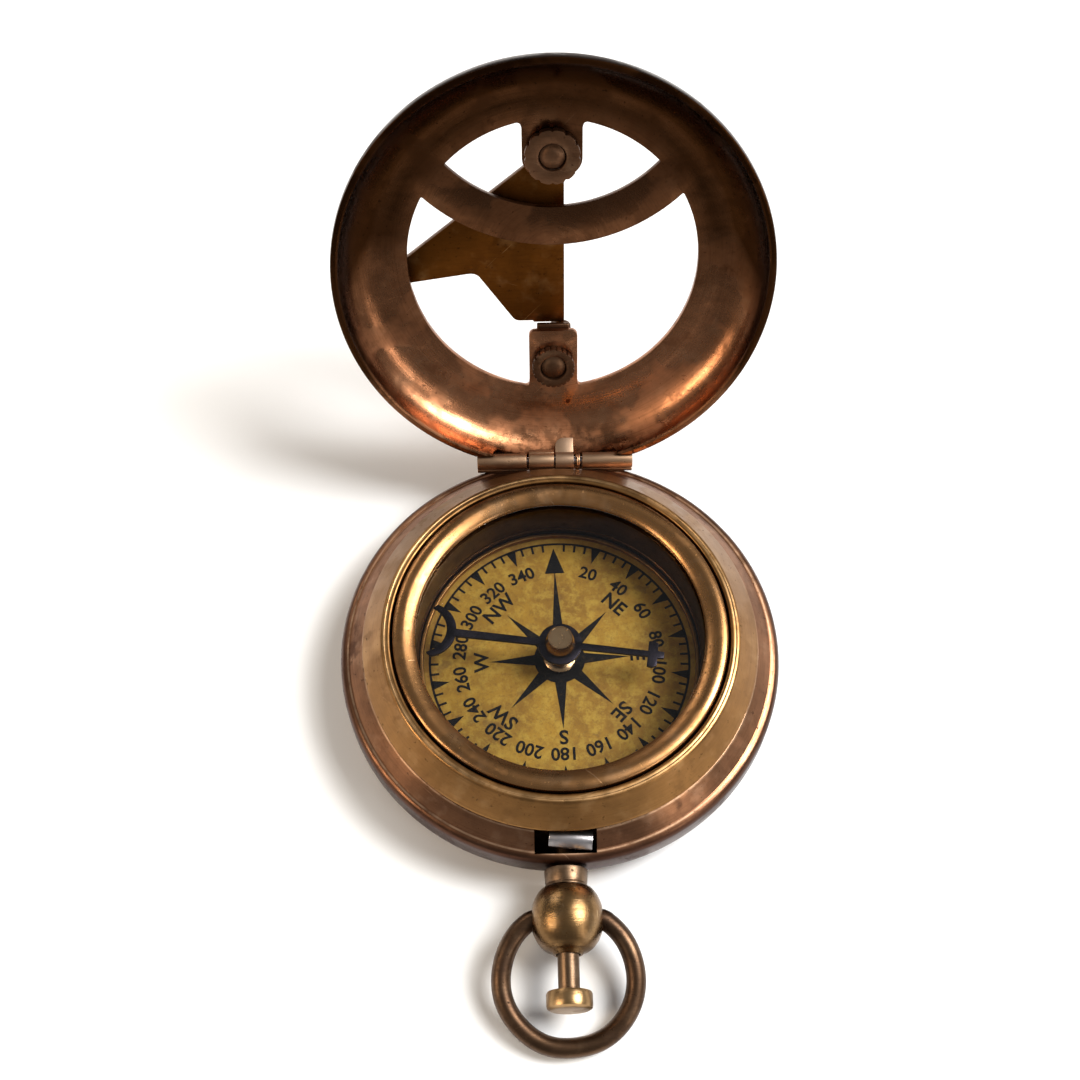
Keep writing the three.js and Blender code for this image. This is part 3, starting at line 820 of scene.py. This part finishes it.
# ---------------------------------------------------------------- needle
def needle_outline():
    """Crescent on the north end, tee on the tail, round hub."""
    tee = [(10.0, -0.34), (10.0, -1.5), (10.55, -1.62), (11.1, -1.35), (11.1, -0.45), (11.85, -0.36)]
    tail = tee + [(11.85, 0.36)] + [(x, -y) for x, y in reversed(tee[:-1])] + [(2.45, 0.4)]
    hub_top = arc((0, 0), HUB_R, 9, 171, 26)
    outer = arc((-15.2, 0), 3.3, 8, 76, 10)
    inner = arc((-15.95, 0), 2.95, 70, -70, 16)
    crescent = outer + inner + [(x, -y) for x, y in reversed(outer)]
    hub_low = arc((0, 0), HUB_R, 189, 351, 26)
    return tail + hub_top + crescent + hub_low


def needle_pieces():
    """Flat blued needle, and the brass cap through its hub."""
    hole = arc((0, 0), 1.15, 0, 345, 23)
    plate = slab(needle_outline(), NEEDLE_LOW.z, NEEDLE_HIGH.z, [hole], 0.07)
    piece("needle_blade", plate, "needle", BLUED, ["needle"], NEEDLE_PLACE)
    top, flange, sleeve = CAP_HIGH.z, NEEDLE_LOW.z + 0.55, CAP_LOW.z
    profile = [(0, top - 0.06), (1.22, top - 0.06), (1.27, top), (1.36, top), (1.42, top - 0.07)]
    profile += [(1.68, flange + 0.25), (1.74, flange + 0.15), (1.74, flange + 0.04), (1.68, flange)]
    profile += [(0.95, flange), (0.95, sleeve), (0.65, sleeve)]
    profile += [(0.65, PIN_HIGH.z - 0.2), (0, PIN_HIGH.z + 0.4)]
    piece("cap", spun(profile, 96, False), "needle", CAP_BRASS, ["needle_cap"])


# ---------------------------------------------------------------- hinge
def barrel(x0, x1, radius=BARREL_R, rounding=0.1, steps=48):
    """Rolled barrel with a bore, along the hinge."""
    return moved(spun(softened(band(EYE_R, radius, x0, x1), rounding), steps), TO_X)


def hinge_pieces():
    """The case's two knuckles on their feet, the pin, and the coil of the lift spring."""
    place = HINGE_PLACE
    for side in ("left", "right"):
        node = "hinge_knuckle_" + side
        low, high = span(node)
        knuckle = merged(barrel(low.x, high.x), block(low.x, high.x, -0.88, 0.8, -1.16, -0.62, 0.1))
        piece("knuckle_" + side, knuckle, "case", HINGE_COPPER, [node], place)
    pin = moved(peg(0.42, -9.25, 9.25, 0.12, 3), TO_X)
    piece("pin", pin, "case", PLAIN_STEEL, ["hinge_pin"], place)
    path = [(along, y, z) for z, y, along in helix(0.66, 2.6, 0.34, 2.25, 72)] + [(2.94, 1.1, -0.35)]
    coil = tube(path, 0.13, 12)
    piece("spring_coil", coil, "case", HINGE_COPPER, ["lift_spring_coil"], place)


def lid_hinge_pieces():
    """The lid's knuckle with its leaf, and the flat leg of the lift spring."""
    place = LID_PLACE @ HINGE_PLACE
    low, high = span("lid_knuckle")
    leaf = block(low.x, high.x, -0.83, 0.1, 0.5, 1.38, 0.1)
    knuckle = merged(barrel(low.x, high.x), leaf)
    piece("lid_barrel", knuckle, "lid", HINGE_COPPER, ["lid_knuckle"], place)
    x0, x1 = 0.1, 2.25
    outline = [(x0, 0.4), (x1, 0.4), (x1, 2.85)] + arc((x0 + 1.0, 1.85), 1.0, 90, 180, 8)
    strip = slab(outline, -0.15, 0.15, bevel=0.05)
    stand = Matrix.Rotation(math.radians(42), 4, "X") @ Matrix.Rotation(math.pi / 2, 4, "X")
    leg = merged(barrel(x0, x1, 1.04, 0.06, 40), moved(strip, stand))
    piece("spring_leg", leg, "lid", SPRING_BRASS, ["lift_spring_leg"], place)


# ---------------------------------------------------------------- pendant and button
def pendant_pieces():
    """Neck, hollow ball with its two side sockets, and the spring round the push rod."""
    near, far = -NECK_HIGH.y, -NECK_LOW.y
    neck = [(BORE_R, near), (2.34, near), (2.36, near + 0.1), (2.28, far - 0.5), (2.22, far - 0.3)]
    neck += [(2.3, far - 0.12), (2.3, far), (BORE_R, far)]
    piece("neck", spun(neck, 72), "case", NECK_BRONZE, ["pendant_neck"], STEM_PLACE)
    mid = -BALL_Y
    round_side = arc((0, mid), BALL_R, -52.6, 62, 48)
    ball = [(2, 27.3)] + [(x * (x / BALL_R) ** -BALL_FULLNESS, y) for x, y in round_side]
    ball += [(1.7, mid + 3.62), (1.55, mid + 3.85), (1.42, mid + 3.89), (BORE_R, mid + 3.86)]
    ball += [(BORE_R, mid + 2.3), (2, mid + 2.3)]
    centre = Matrix.Translation((0, BALL_Y, STEM_Z))
    turns = [Matrix.Rotation(angle, 4, "Y") for angle in (math.pi / 2, -math.pi / 2)]
    sockets = [drill(WIRE_R + 0.14, 2.2, 5, centre @ turn) for turn in turns]
    body = cut(moved(spun(ball, 128), STEM_PLACE), sockets)
    piece("ball", body, "case", BALL_BRASS, ["pendant_ball"], smooth=40)
    coil = tube(helix(1.6, 27.4, 4.25, 5, 100), 0.19, 12)
    spring = piece("return_spring", coil, "case", PLAIN_STEEL, ["button_spring"], STEM_PLACE)
    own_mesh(spring)


def button_pieces():
    """Push rod with its shoulder, button head, and the catch that holds the lid."""
    near, far = -ROD_HIGH.y, -ROD_LOW.y
    rod = [(0, near), (ROD_R, near), (ROD_R, 31.9), (1.8, 31.9), (1.8, 32.4), (ROD_R, 32.4)]
    rod += [(ROD_R, far), (0, far)]
    rod = spun(softened(rod, 0.06, 2, False), 56, False)
    piece("rod", rod, "button", NECK_BRONZE, ["push_rod"], STEM_PLACE)
    near, far = -HEAD_HIGH.y, -HEAD_LOW.y
    head = [(0, near), (2.1, near), (2.34, near + 0.08), (2.45, near + 0.3), (2.45, far - 0.5)]
    head += [(2.38, far - 0.22), (2.1, far - 0.04), (1.9, far), (0, far)]
    piece("button_disc", spun(head, 96, False), "button", BUTTON_BRASS, ["button_head"], STEM_PLACE)
    side = [(20.2, 3), (21.2, 3), (21.2, 6.95), (23.55, 6.95), (23.6, 7.35), (23.05, 8.05), (22.75, 8.2)]
    side += [(22.35, 8.2), (22.15, 8.1), (21.3, 7.4), (20.2, 7.4)]
    arm = slab(softened(side, 0.12, 2), -CATCH_HALF, CATCH_HALF, bevel=0.08)
    stand = Matrix.Rotation(-math.pi / 2, 4, "Z") @ Matrix.Rotation(math.pi / 2, 4, "X")
    askew = Matrix.Translation((0.6, NOSE_Y, 0)) @ Matrix.Rotation(math.radians(-6), 4, "Z")
    place = askew @ Matrix.Translation((0, -NOSE_Y, 0)) @ stand
    piece("catch_arm", arm, "button", CATCH_STEEL, ["catch"], place)


def bow_piece():
    """Wire ring, a little irregular, whose ends turn smoothly into the ball's sockets."""
    start = 128
    ring = arc((0, -BOW_REACH), BOW_R, start, 540 - start, 80)
    ring = [(x * (1 + 0.012 * math.sin(0.5 * y)), y + 0.06 * math.sin(0.9 * x + 1)) for x, y in ring]
    socket = Vector((-2.5, 0))
    first = Vector(ring[0])
    lean = math.radians(start)
    back = Vector((math.sin(lean), -math.cos(lean)))
    handles = (socket, socket + Vector((-0.9, 0)), first + back * 0.75, first)
    bend = []
    for i in range(8):
        t = i / 8
        weights = ((1 - t) ** 3, 3 * t * (1 - t) ** 2, 3 * t * t * (1 - t), t**3)
        bend.append(sum((w * h for w, h in zip(weights, handles)), Vector((0, 0))))
    path = [(x, y, 0) for x, y in (*bend, *ring)] + [(-x, y, 0) for x, y in reversed(bend)]
    wire = tube(path, WIRE_R, 24)
    piece("bow", wire, "bow", BOW_BRONZE, ["bow_ring"], BOW_PLACE, smooth=60)


# ---------------------------------------------------------------- lid, drawn closed and placed open
def on_lid(s):
    """Y of a place on the closed lid, s away from the hinge."""
    return HINGE.y - s


def crossing(radius):
    """Where the band's edge of that radius meets the window: half width and distance from the hinge."""
    gap = BAND_S - HINGE.y
    along = (WINDOW_R**2 - radius**2 + gap**2) / (2 * gap)
    return math.sqrt(WINDOW_R**2 - along**2), HINGE.y + along


def window_arc(x_from, s_from, x_to, s_to, steps):
    """Points on the round window between two places, the short way, as (x, s)."""
    start = math.atan2(s_from - HINGE.y, x_from)
    end = math.atan2(s_to - HINGE.y, x_to)
    turn = (end - start + math.pi) % math.tau - math.pi
    way = arc((0, 0), WINDOW_R, math.degrees(start), math.degrees(start + turn), steps)
    return [(x, s + HINGE.y) for x, s in way]


def tab_end(half, s_end, s_root, corner):
    """The outline of a tab, from its right root round its free end to its left root."""
    sign = math.copysign(1, s_end - s_root)
    right = arc((half - corner, s_end - sign * corner), corner, 0, sign * 90, 6)
    left = [(-x, s) for x, s in reversed(right)]
    flare = [(half + TAB_FLARE, s_root), (half + 0.14, s_root + sign * 0.1), (half, s_root + sign * 0.6)]
    return flare + right + left + [(-x, s) for x, s in reversed(flare)]


def window_outlines():
    """The lower and upper windows as loops of (x, y) on the closed lid."""
    loops = []
    low = (2.85, 15.1, BAND_OUT, 0.7, -1)
    top = (3.35, 34.2, BAND_IN, 2.0, 1)
    for half, s_end, edge_r, corner, side in (low, top):
        wide = half + TAB_FLARE
        root = HINGE.y + side * math.sqrt(WINDOW_R**2 - wide**2)
        x, s = crossing(edge_r)
        loop = window_arc(x, s, wide, root, 32)[:-1] + tab_end(half, s_end, root, corner)
        loop += window_arc(-wide, root, -x, s, 32)[1:]
        edge = math.degrees(math.asin(x / edge_r))
        loop += arc((0, BAND_S), edge_r, -90 - edge, -90 + edge, 36)[1:-1]
        loops.append([(px, on_lid(ps)) for px, ps in softened(loop, 0.22, 3, least=35)])
    return loops


def lid_frame():
    """Dished rim, turned, joined to a flat part with its windows and stud holes."""
    steps = 240
    profile = arc((FLAT_R, DISH_Z), (5.15, LID_IN - DISH_Z - 0.05), 90, 0, 16)
    profile[0] = (FLAT_R, LID_IN)
    profile += [(24.15, 7.75), (24.05, 7.6), (24.12, 7.42), (24.3, 7.3)]
    profile += [(24.7, 7.3), (24.86, 7.38), (24.93, 7.6)]
    profile += arc((FLAT_R, DISH_Z), (DISH_R - FLAT_R, LID_OUT - DISH_Z - 0.05), 0, 90, 18)
    profile[-1] = (FLAT_R, LID_OUT)
    dish = spun(profile, steps, False)
    rim = arc((0, 0), FLAT_R, 0, 360 - 360 / steps, steps - 1)
    holes = window_outlines() + [arc((0, on_lid(s)), STUD_R + 0.2, 0, 345, 23) for s in (TOP_S, LOW_S)]
    flat = slab(rim, LID_IN, LID_OUT, holes)
    upright = [f for f in flat.faces if abs(f.normal.z) < 0.5]
    outer_wall = [f for f in upright if all(v.co.xy.length > FLAT_R - 0.01 for v in f.verts)]
    bmesh.ops.delete(flat, geom=outer_wall, context="FACES")
    shell = merged(dish, flat)
    bmesh.ops.remove_doubles(shell, verts=shell.verts, dist=2e-3)
    bmesh.ops.recalc_face_normals(shell, faces=shell.faces)
    return bevelled(shell, 0.1, 2, 60, lambda e: all(v.co.xy.length < FLAT_R - 1 for v in e.verts))


def lid_piece():
    """The lid's frame, cut out round the hinge, with a blind dimple."""
    notch = block(-SEAT_HALF, SEAT_HALF, HINGE.y - 1.12, SEAT_END, LAND_Z, HINGE.z + 1.12)
    edge = block(-SEAT_HALF, SEAT_HALF, HINGE.y + 0.15, SEAT_END, LAND_Z, 14)
    dimple = drill(0.35, 9, 12.85, Matrix.Translation((1.7, on_lid(5.75), 0)), 32)
    shell = cut(lid_frame(), [notch, edge, dimple])
    piece("lid_shell", shell, "lid", LID_COPPER, ["lid_frame"], LID_PLACE, smooth=30)


def nut(radius, notches, s):
    """Round nut with notches in its rim and a countersunk hole."""
    z1 = LID_IN - 0.15
    z0 = z1 - 1.0
    outline = []
    steps = notches * 10
    for i in range(steps):
        angle = math.tau * i / steps
        reach = radius - 0.2 * max(0.0, math.cos(angle * notches)) ** 3
        outline.append((reach * math.cos(angle), reach * math.sin(angle)))
    hole = arc((0, 0), STUD_R + 0.12, 0, 350, 35)
    body = slab(outline, z0, z1, [hole])

    def countersink(edge):
        return all(v.co.xy.length < STUD_R + 0.2 and v.co.z < z0 + 0.1 for v in edge.verts)

    bevelled(body, 0.22, 2, 60, countersink)
    bevelled(body, 0.1, 2, 60, lambda edge: all(v.co.xy.length > STUD_R + 0.6 for v in edge.verts))
    return moved(body, Matrix.Translation((0, on_lid(s), 0)))


def stud(s):
    """Threaded end of a post, seen inside its nut."""
    profile = [(0, 11.3), (0.5, 11.33), (0.9, 11.42), (1.1, 11.54)]
    for i in range(9):
        z = 11.62 + 0.22 * i
        profile += [(STUD_R, z), (STUD_R - 0.16, z + 0.11)]
    profile += [(STUD_R - 0.1, 13.6), (0, 13.6)]
    return moved(spun(profile, 48, False), Matrix.Translation((0, on_lid(s), 0)))


def post(stud_s, foot_s, ear_s):
    """Gnomon post: a foot on the lid, an ear with the gnomon's bore, and a stud through the lid."""
    foot = block(-1.9, 1.9, on_lid(foot_s[1]), on_lid(foot_s[0]), LID_OUT + 0.15, LID_OUT + 0.8, 0.15)
    outline = [(-0.4, LID_OUT + 0.4), (2.1, LID_OUT + 0.4), (2.1, FOLD_Z)]
    outline += arc((FOLD_X - 0.05, FOLD_Z - 0.25), 1.2, 5, 175, 14) + [(-0.4, FOLD_Z)]
    bore = arc((FOLD_X, FOLD_Z), 0.55, 0, 345, 23)
    ear = slab(outline, -on_lid(ear_s[0]), -on_lid(ear_s[1]), [bore], 0.1)
    return merged(foot, moved(ear, Matrix.Rotation(math.pi / 2, 4, "X")), stud(stud_s))


def style_s(x):
    """Distance from the hinge of the gnomon's sloping edge, which follows the latitude."""
    return 38 - (GNOMON_EDGE_X - x) / math.tan(LATITUDE)


def gnomon():
    """Folding plate with its sloping edge, tip and hollowed lower edge, on two pivot pins."""
    low, high = 15.4, 35.0
    outline = [(GNOMON_EDGE_X, low), (GNOMON_EDGE_X, high), (-2.6, high)]
    outline += [(-3.4, style_s(-3.4)), (-20.4, style_s(-20.4)), (-21.05, 20.72), (-21.1, 20.35)]
    outline += [(-20.6, 20.1), (-9.6, 21.7), (-9.1, 21.66), (-8.6, 21.4), (-5.0, 16.4), (-4.6, 15.85)]
    outline += [(-4.2, 15.62), (-3.8, 15.6), (-2.3, 15.6), (-2.3, low)]
    sheet = [(x, on_lid(s)) for x, s in softened(outline, 0.18, 2)]
    plate = slab(sheet, FOLD_Z - 0.5, FOLD_Z + 0.5, bevel=0.1)
    line = Matrix.Translation((FOLD_X, 0, FOLD_Z)) @ Matrix.Rotation(math.pi / 2, 4, "X")
    ends = ((low - 1.5, low + 0.4), (high - 0.4, high + 1.5))
    pins = [moved(peg(0.45, -on_lid(a), -on_lid(b), 0.08, 2), line) for a, b in ends]
    return merged(plate, *pins)


def lid_fitting_pieces():
    """The two posts, their nuts inside the lid, and the gnomon."""
    posts = (("top", TOP_S, (35.4, 38.2), (35.4, 37.2)), ("low", LOW_S, (9, 15.5), (13.4, 15)))
    for end, s, foot_s, ear_s in posts:
        body = post(s, foot_s, ear_s)
        piece("post_" + end, body, "lid", NUT_BRONZE, ["gnomon_post_" + end], LID_PLACE)
    for end, radius, notches, s in (("top", 3.1, 12, TOP_S), ("low", 2.5, 22, LOW_S)):
        body = nut(radius, notches, s)
        piece("nut_" + end, body, "lid", NUT_BRONZE, ["post_nut_" + end], LID_PLACE)
    piece("gnomon", gnomon(), "gnomon", GNOMON_BRASS, ["gnomon_plate"], LID_PLACE)


def outer_height(radius):
    """Height of the closed lid's outer face at a radius."""
    if radius <= FLAT_R:
        return LID_OUT
    across = (radius - FLAT_R) / (DISH_R - FLAT_R)
    return DISH_Z + (LID_OUT - DISH_Z) * math.sqrt(max(0.0, 1 - across**2))


def hour_ring_piece():
    """Generic hour lines and Roman numerals on the lid's outer face."""
    numerals = ["VI", "VII", "VIII", "IX", "X", "XI", "XII", "I", "II", "III", "IIII", "V", "VI"]
    parts = []
    for i, text in enumerate(numerals):
        hour_angle = math.radians(15 * (i - 6))
        line_angle = math.atan2(math.sin(LATITUDE) * math.sin(hour_angle), math.cos(hour_angle))
        bearing = math.degrees(line_angle)
        parts.append(slab(tick(bearing, 17.1, 18.5, 0.07), 0, INK_THICK))
        parts.append(dial_text(text, 1.7, 19.7, bearing, 0, INK_THICK))
    for radius in (17.0, 18.6, 20.9):
        parts.append(spun(band(radius - 0.06, radius + 0.06, 0, INK_THICK), 180))
    ring = merged(*parts)
    bmesh.ops.triangulate(ring, faces=ring.faces)
    for vert in ring.verts:
        vert.co.z += outer_height(vert.co.xy.length)
    piece("hour_ring", ring, "lid", INK, place=LID_PLACE)


# ---------------------------------------------------------------- stage
def camera():
    """High view from the front, shifted so that the case and the open lid fill the frame."""
    elevation, azimuth = math.radians(62.32), math.radians(-1.18)
    distance, aside, below = 188.3, 2.27, -15.47
    level = math.cos(elevation)
    back = Vector((math.sin(azimuth) * level, -math.cos(azimuth) * level, math.sin(elevation)))
    right = Vector((math.cos(azimuth), math.sin(azimuth), 0))
    up = back.cross(right)
    place = (back * distance - right * aside - up * below) * MM
    data = bpy.data.cameras.new("camera")
    data.lens = 53.3
    data.sensor_width = 36
    data.clip_start = 0.005
    thing = bpy.data.objects.new("camera", data)
    turn = Matrix((right, up, back)).transposed().to_4x4()
    thing.matrix_world = Matrix.Translation(place) @ turn
    add(thing)
    bpy.context.scene.camera = thing


def softbox(name, place, size, power, tint):
    """Rectangular soft light that faces the dial."""
    data = bpy.data.lights.new(name, "AREA")
    data.shape = "RECTANGLE"
    data.size, data.size_y = size
    data.energy = power
    data.color = tint
    thing = bpy.data.objects.new(name, data)
    spot = Vector(place)
    thing.location = spot
    thing.rotation_euler = (Vector((0, 0, 0.01)) - spot).to_track_quat("-Z", "Y").to_euler()
    add(thing)


def studio_world():
    """Dim soft surroundings for the light, and a pale backdrop where the camera looks past the floor."""
    world = bpy.data.worlds.new("studio")
    bpy.context.scene.world = world
    world.use_nodes = True
    nodes = world.node_tree.nodes
    background = nodes["Background"]
    background.inputs["Color"].default_value = (0.94, 0.96, 1.0, 1)
    strength = nodes.new("ShaderNodeMapRange")
    strength.inputs["To Min"].default_value = 0.22
    strength.inputs["To Max"].default_value = 0.95
    path = nodes.new("ShaderNodeLightPath")
    world.node_tree.links.new(path.outputs["Is Camera Ray"], strength.inputs["Value"])
    world.node_tree.links.new(strength.outputs[0], background.inputs["Strength"])


def studio():
    """White floor just under the case, a broad soft sun and four softboxes."""
    bm = bmesh.new()
    bmesh.ops.create_grid(bm, x_segments=1, y_segments=1, size=3)
    bmesh.ops.translate(bm, vec=(0, 0, -0.0002), verts=bm.verts)
    mesh = bpy.data.meshes.new("floor")
    bm.to_mesh(mesh)
    bm.free()
    mesh.materials.append(floor_white())
    floor = bpy.data.objects.new("floor", mesh)
    add(floor)
    studio_world()
    sun = bpy.data.lights.new("sun", "SUN")
    sun.energy = 2.9
    sun.angle = math.radians(35)
    sun.color = (1, 0.985, 0.96)
    sunlight = bpy.data.objects.new("sun", sun)
    sunlight.rotation_euler = (math.radians(-8), math.radians(38), 0)
    add(sunlight)
    softbox("window", (0.32, 0.04, 0.36), (0.16, 0.2), 1.4, (0.93, 0.96, 1))
    softbox("lamp", (-0.33, -0.1, 0.24), (0.1, 0.2), 0.68, (1, 0.82, 0.62))
    softbox("side", (0.34, -0.3, 0.2), (0.08, 0.25), 0.36, (1, 0.95, 0.9))
    softbox("back", (-0.3, 0.4, 0.32), (0.3, 0.1), 0.45, (1, 0.92, 0.84))
    bpy.context.scene.view_settings.view_transform = "Standard"


camera()
studio()
case_piece()
collar_piece()
bowl_piece()
bezel_piece()
glass_piece()
dial_piece()
dial_print_piece()
pivot_pieces()
needle_pieces()
hinge_pieces()
lid_hinge_pieces()
pendant_pieces()
button_pieces()
bow_piece()
lid_piece()
lid_fitting_pieces()
hour_ring_piece()
